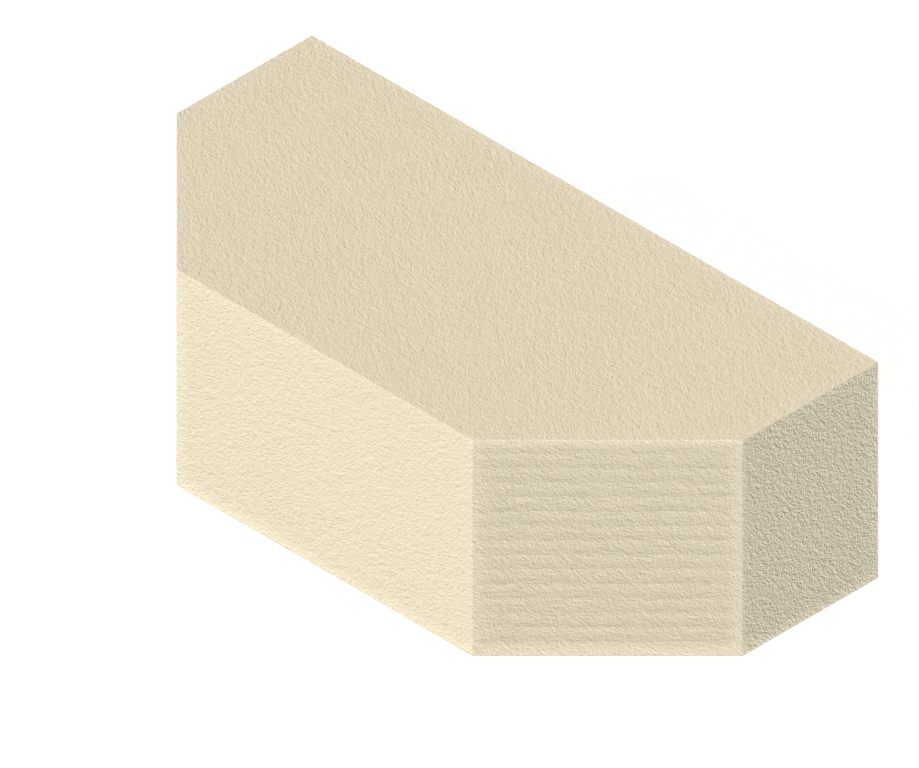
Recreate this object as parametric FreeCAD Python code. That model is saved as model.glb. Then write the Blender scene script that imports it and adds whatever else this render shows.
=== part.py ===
import FreeCAD
import Part

import os

# Double-cant brick: a solid brick with both front corners cut off at 45 degrees.
# Frame: X along the length, Y from the front face to the back face, Z up.
# The origin is on the floor, under the middle of the brick's box.

# Driving dimensions, in millimetres
brick_length = 230.0  # the full-length back face
brick_width = 110.0  # front face to back face
brick_height = 76.0  # one course, without its mortar joint
cant_setback = brick_width / 2  # each 45 degree cut runs this far along the front and the end
arris_radius = 0.4  # every edge is slightly softened


def plan_outline():
    """The brick seen from above, as a closed wire at floor level."""
    end_x = brick_length / 2
    back_y = brick_width / 2
    front_y = -brick_width / 2
    front_corner_x = end_x - cant_setback
    end_corner_y = front_y + cant_setback
    corners = [
        (-end_x, back_y),
        (-end_x, end_corner_y),
        (-front_corner_x, front_y),
        (front_corner_x, front_y),
        (end_x, end_corner_y),
        (end_x, back_y),
    ]
    points = [FreeCAD.Vector(x, y, 0) for x, y in corners]
    return Part.makePolygon(points + points[:1])


def make_brick():
    """One fired piece: the plan raised to the course height, with soft arrises."""
    bed_face = Part.Face(plan_outline())
    block = bed_face.extrude(FreeCAD.Vector(0, 0, brick_height))
    return block.makeFillet(arris_radius, block.Edges)


def main():
    os.makedirs("parts", exist_ok=True)
    brick = make_brick()
    brick.exportStep("parts/brick.step")
    box = brick.BoundBox
    print(f"brick: {box.XLength:.2f} x {box.YLength:.2f} x {box.ZLength:.2f} mm")
    print(f"volume: {brick.Volume / 1e6:.4f} litres, valid: {brick.isValid()}")


main()
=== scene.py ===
import math

import bmesh
import bpy
from mathutils import Matrix, Vector, noise


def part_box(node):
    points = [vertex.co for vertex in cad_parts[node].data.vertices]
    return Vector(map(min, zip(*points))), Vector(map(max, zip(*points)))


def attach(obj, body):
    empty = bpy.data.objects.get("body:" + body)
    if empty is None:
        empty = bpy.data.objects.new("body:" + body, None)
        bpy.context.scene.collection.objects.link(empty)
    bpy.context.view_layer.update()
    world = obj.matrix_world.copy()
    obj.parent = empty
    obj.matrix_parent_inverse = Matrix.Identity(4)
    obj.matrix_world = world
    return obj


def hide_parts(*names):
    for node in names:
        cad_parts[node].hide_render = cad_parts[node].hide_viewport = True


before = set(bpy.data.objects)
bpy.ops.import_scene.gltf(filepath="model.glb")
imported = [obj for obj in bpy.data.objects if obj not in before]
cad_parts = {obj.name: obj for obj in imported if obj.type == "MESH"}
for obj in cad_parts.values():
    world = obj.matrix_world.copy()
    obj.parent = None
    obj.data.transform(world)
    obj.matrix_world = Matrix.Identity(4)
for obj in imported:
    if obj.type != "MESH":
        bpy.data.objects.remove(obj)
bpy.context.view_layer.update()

# A cream clay brick with both front corners cut off, seen as an isometric view on white.
mm = 0.001
snap = 0.001 * mm  # a cut this close to a corner goes through it
weld = 0.01 * mm  # points closer than this become one


class Wire:
    # a node socket that Python sums can be written on; a wire with no socket only adds nodes
    def __init__(self, tree, socket=None):
        self.tree = tree
        self.socket = socket

    def node(self, kind, settings=None, inputs=None, output=0):
        made = self.tree.nodes.new(kind)
        for name, value in (settings or {}).items():
            setattr(made, name, value)
        for name, value in (inputs or {}).items():
            if isinstance(value, Wire):
                self.tree.links.new(value.socket, made.inputs[name])
            else:
                made.inputs[name].default_value = value
        return Wire(self.tree, made.outputs[output]) if len(made.outputs) else made

    def number(self, operation, *parts):
        return self.node("ShaderNodeMath", {"operation": operation}, dict(enumerate(parts)))

    def vector(self, operation, *parts):
        return self.node("ShaderNodeVectorMath", {"operation": operation}, dict(enumerate(parts)))

    def __add__(self, other):
        return self.number("ADD", self, other)

    def __radd__(self, other):
        return self.number("ADD", other, self)

    def __sub__(self, other):
        return self.number("SUBTRACT", self, other)

    def __rsub__(self, other):
        return self.number("SUBTRACT", other, self)

    def __mul__(self, other):
        return self.number("MULTIPLY", self, other)

    def __rmul__(self, other):
        return self.number("MULTIPLY", other, self)

    def atLeast(self, other):
        return self.number("MAXIMUM", self, other)

    def ripple(self):
        # the sine without its sign
        return self.number("ABSOLUTE", self.number("SINE", self))


def meshFrom(bm, name):
    mesh = bpy.data.meshes.new(name)
    bm.to_mesh(mesh)
    bm.free()
    return mesh


def addObject(name, data):
    made = bpy.data.objects.new(name, data)
    bpy.context.scene.collection.objects.link(made)
    return made


def blankMaterial(name):
    material = bpy.data.materials.new(name)
    material.use_nodes = True
    material.node_tree.nodes.clear()
    return material, Wire(material.node_tree)


brick = {
    "name": "cant_brick",
    "cornerCut": 55 * mm,  # how far each 45 degree cut runs along the front and the end
    "arrisWidth": 0.4 * mm,  # the rounding of every edge
    "arrisSteps": 2,
    "arrisEdging": 0.15 * mm,  # a narrow strip of mesh beside each arris keeps its shading tight
    "cell": 1.1 * mm,  # the size of the mesh's cells across and along
    "cellClearance": 0.3 * mm,  # no cut through the mesh comes closer to an arris
    "arrisWear": 0.08 * mm,  # how deep the arrises are rubbed away
    "wearSize": 2.6 * mm,
    "wearShare": 0.5,  # of that depth, on average
    "rollSize": 34 * mm,  # slow hollows left by drying and firing
    "rollDepth": 0.16 * mm,
    "dimpleSize": 7 * mm,
    "dimpleDepth": 0.1 * mm,
    "arrisDimples": 0.35,  # the share of a dimple's depth that is left at an arris
    "grainSize": 2.8 * mm,  # the coarser half of the sandy grain, which the mesh can hold
    "grainDepth": 0.2 * mm,
    "grainReach": 0.9 * mm,  # it starts this far in from an arris
    "arrisGrain": 0.8,  # how strong the fine grain is on every arris, so that faces meet alike
    "arrisBlend": 1.6 * mm,  # from there to the face's own strength
    "marginWidth": 4 * mm,  # the relief fades out this close to an arris
    "headHeight": 5 * mm,  # how far down the painted highlight at a side's head is held
    "footHeight": 8 * mm,  # and up from its foot
    "sideBlend": 30 * mm,  # from the left margin's painted highlight to the right one's
    "dragPitch": 5.08 * mm,  # level ridges left on the two cut faces
    "dragStart": 10.1 * mm,  # height of the first crease
    "dragRows": 6,  # mesh rows in one ridge
    "dragDepth": 0.22 * mm,
    "dragWander": 0.4 * mm,  # how far a crease strays up and down
    "wanderLength": 17 * mm,  # and over what length and height
    "wanderHeight": 9 * mm,
    "patchLength": 7 * mm,  # the ridges come and go in level patches
    "patchHeight": 3 * mm,
    "patchShown": 0.8,  # how much of a ridge shows, and how much that varies
    "patchSpread": 0.7,
    "groundStep": 7.3,  # each face's grain is this far on in the noise
    "mapStep": 250 * mm,  # and this far on in the map of the fine grain
}

# The finish of each kind of face: how strong its grain is, how long for its width and how fine; how strong
# the painted emboss of the grains (painted light and shade) and the level ridges are; how much painted
# highlight its margins carry, as seen from outside the brick; and a small shift of tone, painted light and
# shade per face.
# each finish's tone is painted light and shade: the end is painted lighter and cooler, the other faces a
# little darker
bedFinish = {
    "grain": 1.05, "stretch": 1.2, "fine": 1.1, "paintedEmboss": 1.2, "drag": 0,
    "left": 0.02, "right": 0.02, "head": 0.02, "foot": 0.02, "tone": (0.975, 0.957, 0.937),
}
longFinish = {
    "grain": 0.95, "stretch": 1.1, "fine": 1.1, "paintedEmboss": 0.93, "drag": 0,
    "left": 0.085, "right": 0.0, "head": 0.055, "foot": 0.1, "tone": (0.981, 0.98, 0.983),
}
cutFinish = {
    "grain": 0.4, "stretch": 1.2, "fine": 1.45, "paintedEmboss": 2.85, "drag": 1,
    "left": 0.1, "right": 0.08, "head": 0.2, "foot": 0.17, "tone": (0.964, 0.96, 0.973),
}
endFinish = {
    "grain": 1.5, "stretch": 1.0, "fine": 1.45, "paintedEmboss": 3.5, "drag": 0,
    "left": 0.0, "right": 0.08, "head": 0.04, "foot": 0.16, "tone": (1.021, 1.029, 1.063),
}

slant = math.sqrt(0.5)  # the share along each axis of a way that runs at 45 degrees

# which way each face looks, its level direction, and how many degrees its grain runs round from that; the
# painted emboss is lit across that run
brickFaces = {
    "bedTop": {**bedFinish, "normal": (0, 0, 1), "level": (1, 0, 0), "run": 327},
    "bedBottom": {**bedFinish, "normal": (0, 0, -1), "level": (1, 0, 0), "run": 213},
    "front": {**longFinish, "normal": (0, -1, 0), "level": (1, 0, 0), "run": 196},
    "back": {**longFinish, "normal": (0, 1, 0), "level": (-1, 0, 0), "run": 205},
    "cutRight": {**cutFinish, "normal": (slant, -slant, 0), "level": (slant, slant, 0), "run": 132},
    "cutLeft": {**cutFinish, "normal": (-slant, -slant, 0), "level": (slant, -slant, 0), "run": 140},
    "endRight": {**endFinish, "normal": (1, 0, 0), "level": (0, 1, 0), "run": 128},
    "endLeft": {**endFinish, "paintedEmboss": 2.7, "normal": (-1, 0, 0), "level": (0, -1, 0), "run": 125},
}


def wholeOf(bm):
    return bm.verts[:] + bm.edges[:] + bm.faces[:]


def sawBlank(shape, low, high):
    bm = bmesh.new()
    place = Matrix.Translation((low + high) / 2) @ Matrix.Diagonal((*(high - low), 1))
    bmesh.ops.create_cube(bm, size=1, matrix=place)
    for side in (-1, 1):
        corner = Vector((side * (high.x - shape["cornerCut"]), low.y, 0))
        outward = Vector((side, -1, 0)).normalized()
        sawn = bmesh.ops.bisect_plane(
            bm, geom=wholeOf(bm), dist=snap, plane_co=corner, plane_no=outward, clear_outer=True,
        )
        rim = [item for item in sawn["geom_cut"] if isinstance(item, bmesh.types.BMEdge)]
        bmesh.ops.edgeloop_fill(bm, edges=rim)
    bmesh.ops.recalc_face_normals(bm, faces=bm.faces[:])
    return bm


def softenArrises(bm, shape):
    # rounds every edge, and gives back the flat faces, all larger than the longest strip of an arris
    longest = max(edge.calc_length() for edge in bm.edges)
    bmesh.ops.bevel(
        bm, geom=bm.edges[:], offset=shape["arrisWidth"], offset_type="OFFSET", affect="EDGES",
        segments=shape["arrisSteps"], profile=0.5, material=-1,
    )
    bm.normal_update()
    return [face for face in bm.faces if face.calc_area() > longest * shape["arrisWidth"]]


def evenPlaces(stops, pitch):
    # evenly spaced places between each two stops, the inner stops included
    places = []
    for start, end in zip(stops, stops[1:]):
        count = round((end - start) / pitch)
        places += [start + (end - start) * step / count for step in range(count)]
    return places[1:]


def cutCells(bm, shape, low, high):
    # planes across the length and the width meet on the cut faces, so they share their lines there, and the
    # level planes keep step with the ridges
    frontCorner = high.x - shape["cornerCut"]
    endCorner = low.y + shape["cornerCut"]
    rowPitch = shape["dragPitch"] / shape["dragRows"]
    firstRow = shape["dragStart"] - int(shape["dragStart"] / rowPitch) * rowPitch
    rowCount = int((high.z - firstRow) / rowPitch) + 1
    cuts = {
        (0, 0, 1): [firstRow + rowPitch * row for row in range(rowCount)],
        (1, 0, 0): evenPlaces([low.x, -frontCorner, frontCorner, high.x], shape["cell"]),
        (0, 1, 0): evenPlaces([low.y, endCorner, high.y], shape["cell"]),
    }
    margin = shape["arrisWidth"] + shape["cellClearance"]
    for direction, places in cuts.items():
        across = Vector(direction)
        for place in places:
            if low.dot(across) + margin < place < high.dot(across) - margin:
                bmesh.ops.bisect_plane(
                    bm, geom=wholeOf(bm), dist=snap, plane_co=across * place, plane_no=across,
                )


def faceTable(flats, shape):
    # each face with its plane, its middle and the two ways that its grain runs, along and across
    table = []
    for number, face in enumerate(brickFaces.values()):
        normal, level = Vector(face["normal"]), Vector(face["level"])
        up = normal.cross(level)
        turn = math.radians(face["run"])
        flat = max(flats, key=lambda item: normal.dot(item.normal))
        middle = flat.calc_center_median()
        table.append({
            **face,
            "number": number,
            "ground": number * shape["groundStep"],
            "normal": normal,
            "level": level,
            "offset": normal.dot(middle),
            "middle": level.dot(middle),
            "along": level * math.cos(turn) + up * math.sin(turn),
            "across": up * math.cos(turn) - level * math.sin(turn),
        })
    return table


def nearestFaces(point, faces):
    # the face that a point lies on, and how far along that face the nearest arris is; a point in the middle
    # of an arris is taken as the upper face's, or as the one's that comes later in the list
    depthPlaces = 7  # depths are told apart to a ten-thousandth of a millimetre
    parallel = 0.99

    def depth(face):
        return face["offset"] - face["normal"].dot(point)

    def order(face):
        return round(depth(face), depthPlaces), -face["normal"].z

    own, *others = sorted(reversed(faces), key=order)
    reach = []
    for other in others:
        bend = own["normal"].dot(other["normal"])
        if abs(bend) < parallel:
            reach.append(depth(other) / math.sqrt(1 - bend * bend))
    return own, min(reach)


def grainPlace(point, face):
    # where a point is along the grain and across it
    stretch = math.sqrt(face["stretch"])
    along = point.dot(face["along"]) * face["fine"] / stretch
    return along, point.dot(face["across"]) * face["fine"] * stretch


def mapGrain(bm, shape, faces):
    # one map, in metres: along the grain and across it, with each face on its own ground
    grainMap = bm.loops.layers.uv.new("grainRun")
    for cell in bm.faces:
        face, arris = nearestFaces(cell.calc_center_median(), faces)
        for loop in cell.loops:
            along, across = grainPlace(loop.vert.co, face)
            loop[grainMap].uv = (along + face["number"] * shape["mapStep"], across)


def ease(value):
    # from 0 to 1 with a soft start and end
    value = min(max(value, 0), 1)
    return value * value * (3 - 2 * value)


def softNoise(place):
    # from 0 to 1
    return 0.5 + 0.5 * noise.noise(place)


def clayDepth(point, face, arris, shape):
    # hollows, dimples, the coarser grain and the wear of the arrises
    inside = ease(arris / shape["marginWidth"])
    dimples = shape["arrisDimples"] + (1 - shape["arrisDimples"]) * inside
    onGrain = Vector((*grainPlace(point, face), 0)) / shape["grainSize"] + Vector((0, 0, face["ground"]))
    grain = softNoise(onGrain) * face["grain"] * ease(arris / shape["grainReach"])
    worn = max(shape["wearShare"] + noise.noise(point / shape["wearSize"]), 0)
    depth = softNoise(point / shape["rollSize"]) * shape["rollDepth"] * inside
    depth += softNoise(point / shape["dimpleSize"]) * shape["dimpleDepth"] * dimples
    depth += grain * shape["grainDepth"]
    depth += worn * shape["arrisWear"] * (1 - ease(arris / (2 * shape["arrisWidth"])))
    return depth


def dragPhase(point, face, shape):
    # how many ridges up from the first crease a point is; the creases stray up and down
    run = point.dot(face["level"])
    spot = Vector((run / shape["wanderLength"], point.z / shape["wanderHeight"], face["number"]))
    return (point.z - shape["dragStart"] + noise.noise(spot) * shape["dragWander"]) / shape["dragPitch"]


def dragStrength(point, face, arris, shape):
    # how much of the ridges shows at a point
    run = point.dot(face["level"])
    spot = Vector((run / shape["patchLength"], point.z / shape["patchHeight"], face["ground"]))
    shown = ease(shape["patchShown"] + shape["patchSpread"] * noise.noise(spot))
    return face["drag"] * shown * ease(arris / shape["marginWidth"])


def paintedEdgeLight(point, face, topHeight, shape):
    # how much painted highlight the clay carries at a point, where that is close to an arris; at the foot
    # it also lifts the floor's shade
    head = 1 - ease((topHeight - point.z) / shape["headHeight"])
    foot = 1 - ease(point.z / shape["footHeight"])
    across = ease(0.5 + (point.dot(face["level"]) - face["middle"]) / shape["sideBlend"])
    side = face["left"] + (face["right"] - face["left"]) * across
    return side + (face["head"] - side) * head + (face["foot"] - side) * foot


def pressRelief(bm, shape, faces):
    # everything is pressed inwards, so the brick keeps its size; gives back what the clay is to read
    bm.normal_update()
    topHeight = faces[0]["offset"]
    moves = []
    marks = []
    for vert in bm.verts:
        face, arris = nearestFaces(vert.co, faces)
        phase = dragPhase(vert.co, face, shape)
        drag = dragStrength(vert.co, face, arris, shape)
        depth = clayDepth(vert.co, face, arris, shape)
        depth += drag * (1 - abs(math.sin(math.pi * phase))) * shape["dragDepth"]
        moves.append(vert.normal * -depth)
        blend = ease(arris / shape["arrisBlend"])
        marks.append({
            "grainStrength": shape["arrisGrain"] + (face["grain"] - shape["arrisGrain"]) * blend,
            "paintedEmbossStrength": face["paintedEmboss"],
            "arrisDistance": arris / mm,
            "paintedEdgeLight": paintedEdgeLight(vert.co, face, topHeight, shape),
            "dragPhase": phase,
            "dragStrength": drag,
            "paintedFaceLight": (*face["tone"], 1),
        })
    for vert, move in zip(bm.verts, moves):
        vert.co += move
    return marks


def writeMarks(mesh, marks):
    for name in marks[0]:
        values = [entry[name] for entry in marks]
        if name == "paintedFaceLight":
            parts = [part for value in values for part in value]
            mesh.attributes.new(name, "FLOAT_COLOR", "POINT").data.foreach_set("color", parts)
        else:
            mesh.attributes.new(name, "FLOAT", "POINT").data.foreach_set("value", values)


def makeBrick(shape):
    low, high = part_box("brick")
    bm = sawBlank(shape, low, high)
    flats = softenArrises(bm, shape)
    faces = faceTable(flats, shape)
    bmesh.ops.inset_individual(bm, faces=flats, thickness=shape["arrisEdging"])
    cutCells(bm, shape, low, high)
    bmesh.ops.remove_doubles(bm, verts=bm.verts[:], dist=weld)
    bmesh.ops.recalc_face_normals(bm, faces=bm.faces[:])
    print("brick cells cut:", len(bm.faces))
    mapGrain(bm, shape, faces)
    marks = pressRelief(bm, shape, faces)
    for cell in bm.faces:
        cell.smooth = True
    piece = addObject(shape["name"], meshFrom(bm, shape["name"]))
    writeMarks(piece.data, marks)
    print("brick relief pressed:", sum(len(cell.vertices) - 2 for cell in piece.data.polygons), "triangles")
    return piece


clay = {
    "name": "fired_clay_cream",
    "colour": (0.778, 0.699, 0.519),
    "roughness": 0.92,
    "roughnessSpread": 0.08,
    "specular": 0.25,
    "grainSize": 2.7 * mm,  # the widest grains; each finer octave is half as wide
    "grainOctaves": 2.0,
    "grainCarry": 1.2,  # how strong each finer octave is
    "grainHeight": 0.7 * mm,
    "paintedPitShade": 0.16,  # painted shade: how much darker the pits are painted than the crests
    "embossLightShift": 0.25 * mm,  # painted light and shade: each grain is painted pale on one side and dark this far behind it
    "embossTint": (0.84, 0.965, 1.28),  # the painted highlight of the emboss is whiter than the clay, and its painted shade richer
    "mottleSize": 16 * mm,
    "mottleOctaves": 2.0,
    "mottleCarry": 0.5,
    "mottleTone": 0.035,
    "marginWidth": 6.2,  # millimetres in from an arris that the painted highlight reaches, as the mesh's own marks are
    "paintedEdgeStray": 3.0,  # millimetres that the mottle pulls it about
    "creaseWidth": 0.32,  # of half a ridge
    "creaseStray": 0.3,  # of a ridge, that the grain pulls a crease about
    # painted shade that darkens the creases
    "paintedCreaseShade": 0.035,
    "creaseHeight": 0.04 * mm,
    "scratchLength": 7 * mm,  # fine level scratches on the cut faces
    "scratchWidth": 0.9 * mm,
    "scratchOctaves": 1.0,
    "scratchCarry": 0.6,
    "scratchFull": 0.34,  # a scratch is full where its noise is under this
    "scratchNone": 0.48,  # and gone where it is over this
    # painted shade that darkens the scratches
    "paintedScratchShade": 0.05,
    "scratchHeight": 0.05 * mm,
}


def meshMark(wire, name, output="Fac"):
    # what the mesh carries at each point
    return wire.node("ShaderNodeAttribute", {"attribute_name": name}, output=output)


def noiseOf(place, size, octaves, carry):
    return place.node("ShaderNodeTexNoise", {"noise_dimensions": "3D"}, {
        "Vector": place, "Scale": 1 / size, "Detail": octaves, "Roughness": carry,
    })


def fade(value, full, none):
    # 1 where the value is under the first limit, 0 where it is over the second
    return value.node("ShaderNodeMapRange", {"interpolation_type": "SMOOTHSTEP"}, {
        "Value": value, "From Min": full, "From Max": none, "To Min": 1.0, "To Max": 0.0,
    })


def sandGrain(wire, look):
    # the fine grain from 0 to 1, and the painted emboss: each grain painted pale on one side and dark on
    # the other, as if lit from one way
    run = wire.node("ShaderNodeUVMap", {"uv_map": "grainRun"})
    behind = wire.vector("ADD", run, (0, look["embossLightShift"], 0))
    grain = noiseOf(run, look["grainSize"], look["grainOctaves"], look["grainCarry"])
    paintedEmboss = noiseOf(behind, look["grainSize"], look["grainOctaves"], look["grainCarry"]) - grain
    return grain, paintedEmboss


def dragMarks(wire, spot, grain, look):
    # the creases between the level ridges, and the fine scratches
    drag = meshMark(wire, "dragStrength")
    phase = meshMark(wire, "dragPhase") + (grain - 0.5) * look["creaseStray"]
    crease = fade((phase * math.pi).ripple(), 0.0, look["creaseWidth"]) * drag
    level, upright = 1 / look["scratchLength"], 1 / look["scratchWidth"]
    drawn = wire.vector("MULTIPLY", spot, (level, level, upright))  # counted in scratches, not in metres
    scratches = noiseOf(drawn, 1.0, look["scratchOctaves"], look["scratchCarry"])
    return crease, fade(scratches, look["scratchFull"], look["scratchNone"]) * drag


def makeClay(look):
    material, wire = blankMaterial(look["name"])
    spot = wire.node("ShaderNodeTexCoord", output="Object")
    grain, paintedEmboss = sandGrain(wire, look)
    crease, scratch = dragMarks(wire, spot, grain, look)
    mottle = noiseOf(spot, look["mottleSize"], look["mottleOctaves"], look["mottleCarry"])
    # painted highlight along the arrises, pulled about by the mottle
    fromArris = meshMark(wire, "arrisDistance") + (mottle - 0.5) * look["paintedEdgeStray"]
    margin = fade(fromArris, 0.0, look["marginWidth"])
    sand = (grain - 0.5) * meshMark(wire, "grainStrength")

    # the tone: random mottle, with painted shade in the grain's pits and creases and scratches, and a
    # painted highlight at the arrises
    tone = 1 + sand * look["paintedPitShade"] + (mottle - 0.5) * look["mottleTone"]
    tone = tone + margin * meshMark(wire, "paintedEdgeLight")
    tone = tone - crease * look["paintedCreaseShade"] - scratch * look["paintedScratchShade"]
    # the painted emboss adds a tinted painted highlight and painted shade to the tone
    shade = wire.vector("MULTIPLY_ADD", look["embossTint"], paintedEmboss * meshMark(wire, "paintedEmbossStrength"), tone)
    # painted light and shade per face: each face's clay colour is lifted or lowered as that face is lit
    faceColour = wire.vector("MULTIPLY", meshMark(wire, "paintedFaceLight", "Color"), look["colour"])

    height = sand * look["grainHeight"] - crease * look["creaseHeight"] - scratch * look["scratchHeight"]
    bump = wire.node("ShaderNodeBump", {}, {"Strength": 1.0, "Distance": 1.0, "Height": height})
    shader = wire.node("ShaderNodeBsdfPrincipled", {}, {
        "Base Color": wire.vector("MULTIPLY", faceColour, shade),
        "Roughness": look["roughness"] + (grain - 0.5) * look["roughnessSpread"],
        "Normal": bump,
        "Specular IOR Level": look["specular"],
    })
    wire.node("ShaderNodeOutputMaterial", {}, {"Surface": shader})
    print("clay mixed:", len(material.node_tree.nodes), "nodes")
    return material


studio = {
    "worldLevel": 0.4,
    "lightLevel": 1.14,
    # the way to each lamp; its length is its share of the light
    "lamps": {
        "key_front_left": (-0.10, -0.65, 0.28),
        "fill_right": (0.31, 0.224, 0.18),
        "rim_back_left": (-0.20, 0.15, 0.05),
    },
    "lampAngle": 30,  # degrees across, for soft shadows
    "lampDistance": 2.0,  # only for show: a sun lamp lights the same from anywhere
    "floorSize": 6.0,
    "floorGrey": 0.41,  # as the brick is lit by it
    "floorSeen": 0.22,  # as the camera sees it, with the glow below on top to make it white
    "floorGlow": 0.845,
}


def seenDirectly(wire):
    # 1 where the camera, a reflection or a clear surface looks, 0 for the light on the brick
    kinds = ("Is Camera Ray", "Is Glossy Ray", "Is Transmission Ray")
    rays = [wire.node("ShaderNodeLightPath", output=kind) for kind in kinds]
    return rays[0].atLeast(rays[1]).atLeast(rays[2])


def makeFloorWhite(look):
    material, wire = blankMaterial("floor_white")
    seen = seenDirectly(wire)
    grey = look["floorGrey"] + seen * (look["floorSeen"] - look["floorGrey"])
    greys = wire.node("ShaderNodeCombineXYZ", {}, {0: grey, 1: grey, 2: grey})
    matt = wire.node("ShaderNodeBsdfDiffuse", {}, {"Color": greys})
    glow = wire.node("ShaderNodeEmission", {}, {"Strength": seen * look["floorGlow"]})
    both = wire.node("ShaderNodeAddShader", {}, {0: matt, 1: glow})
    wire.node("ShaderNodeOutputMaterial", {}, {"Surface": both})
    return material


def makeFloor(look):
    bm = bmesh.new()
    bmesh.ops.create_grid(bm, x_segments=1, y_segments=1, size=look["floorSize"] / 2)
    floor = addObject("floor", meshFrom(bm, "floor"))
    floor.data.materials.append(makeFloorWhite(look))


def makeWorld(look):
    world = bpy.data.worlds.new("studio_world")
    world.use_nodes = True
    world.node_tree.nodes.clear()
    wire = Wire(world.node_tree)
    strength = look["worldLevel"] + seenDirectly(wire) * (1 - look["worldLevel"])
    sky = wire.node("ShaderNodeBackground", {}, {"Color": (1, 1, 1, 1), "Strength": strength})
    wire.node("ShaderNodeOutputWorld", {}, {"Surface": sky})
    bpy.context.scene.world = world


def makeLamp(name, aim, look):
    aim = Vector(aim)
    light = bpy.data.lights.new(name, "SUN")
    light.energy = math.pi * aim.length * look["lightLevel"]
    light.angle = math.radians(look["lampAngle"])
    lamp = addObject(name, light)
    lamp.rotation_euler = aim.to_track_quat("Z", "Y").to_euler()
    lamp.location = aim.normalized() * look["lampDistance"]


view = {
    "azimuth": 45,  # degrees round from the front
    "elevation": 35.264,  # an isometric view
    "width": 0.2636,  # metres across the picture
    "shift": (-0.0003, 0.0006),  # small parts of that, to the side and up
    "distance": 1.0,
}


def makeCamera(look):
    low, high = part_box("brick")
    azimuth, elevation = math.radians(look["azimuth"]), math.radians(look["elevation"])
    level = Vector((math.sin(azimuth), -math.cos(azimuth), 0))
    back = level * math.cos(elevation) + Vector((0, 0, math.sin(elevation)))
    lens = bpy.data.cameras.new("isometric")
    lens.type = "ORTHO"
    lens.ortho_scale = look["width"]
    lens.shift_x, lens.shift_y = look["shift"]
    camera = addObject("isometric", lens)
    camera.location = (low + high) / 2 + back * look["distance"]
    camera.rotation_euler = back.to_track_quat("Z", "Y").to_euler()
    bpy.context.scene.camera = camera


makeCamera(view)
makeFloor(studio)
makeWorld(studio)
for lampName, lampAim in studio["lamps"].items():
    makeLamp(lampName, lampAim, studio)
bpy.context.scene.view_settings.view_transform = "Standard"
print("studio set")

body = makeBrick(brick)
body.data.materials.append(makeClay(clay))
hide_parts("brick")
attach(body, "root")
print("brick dressed")
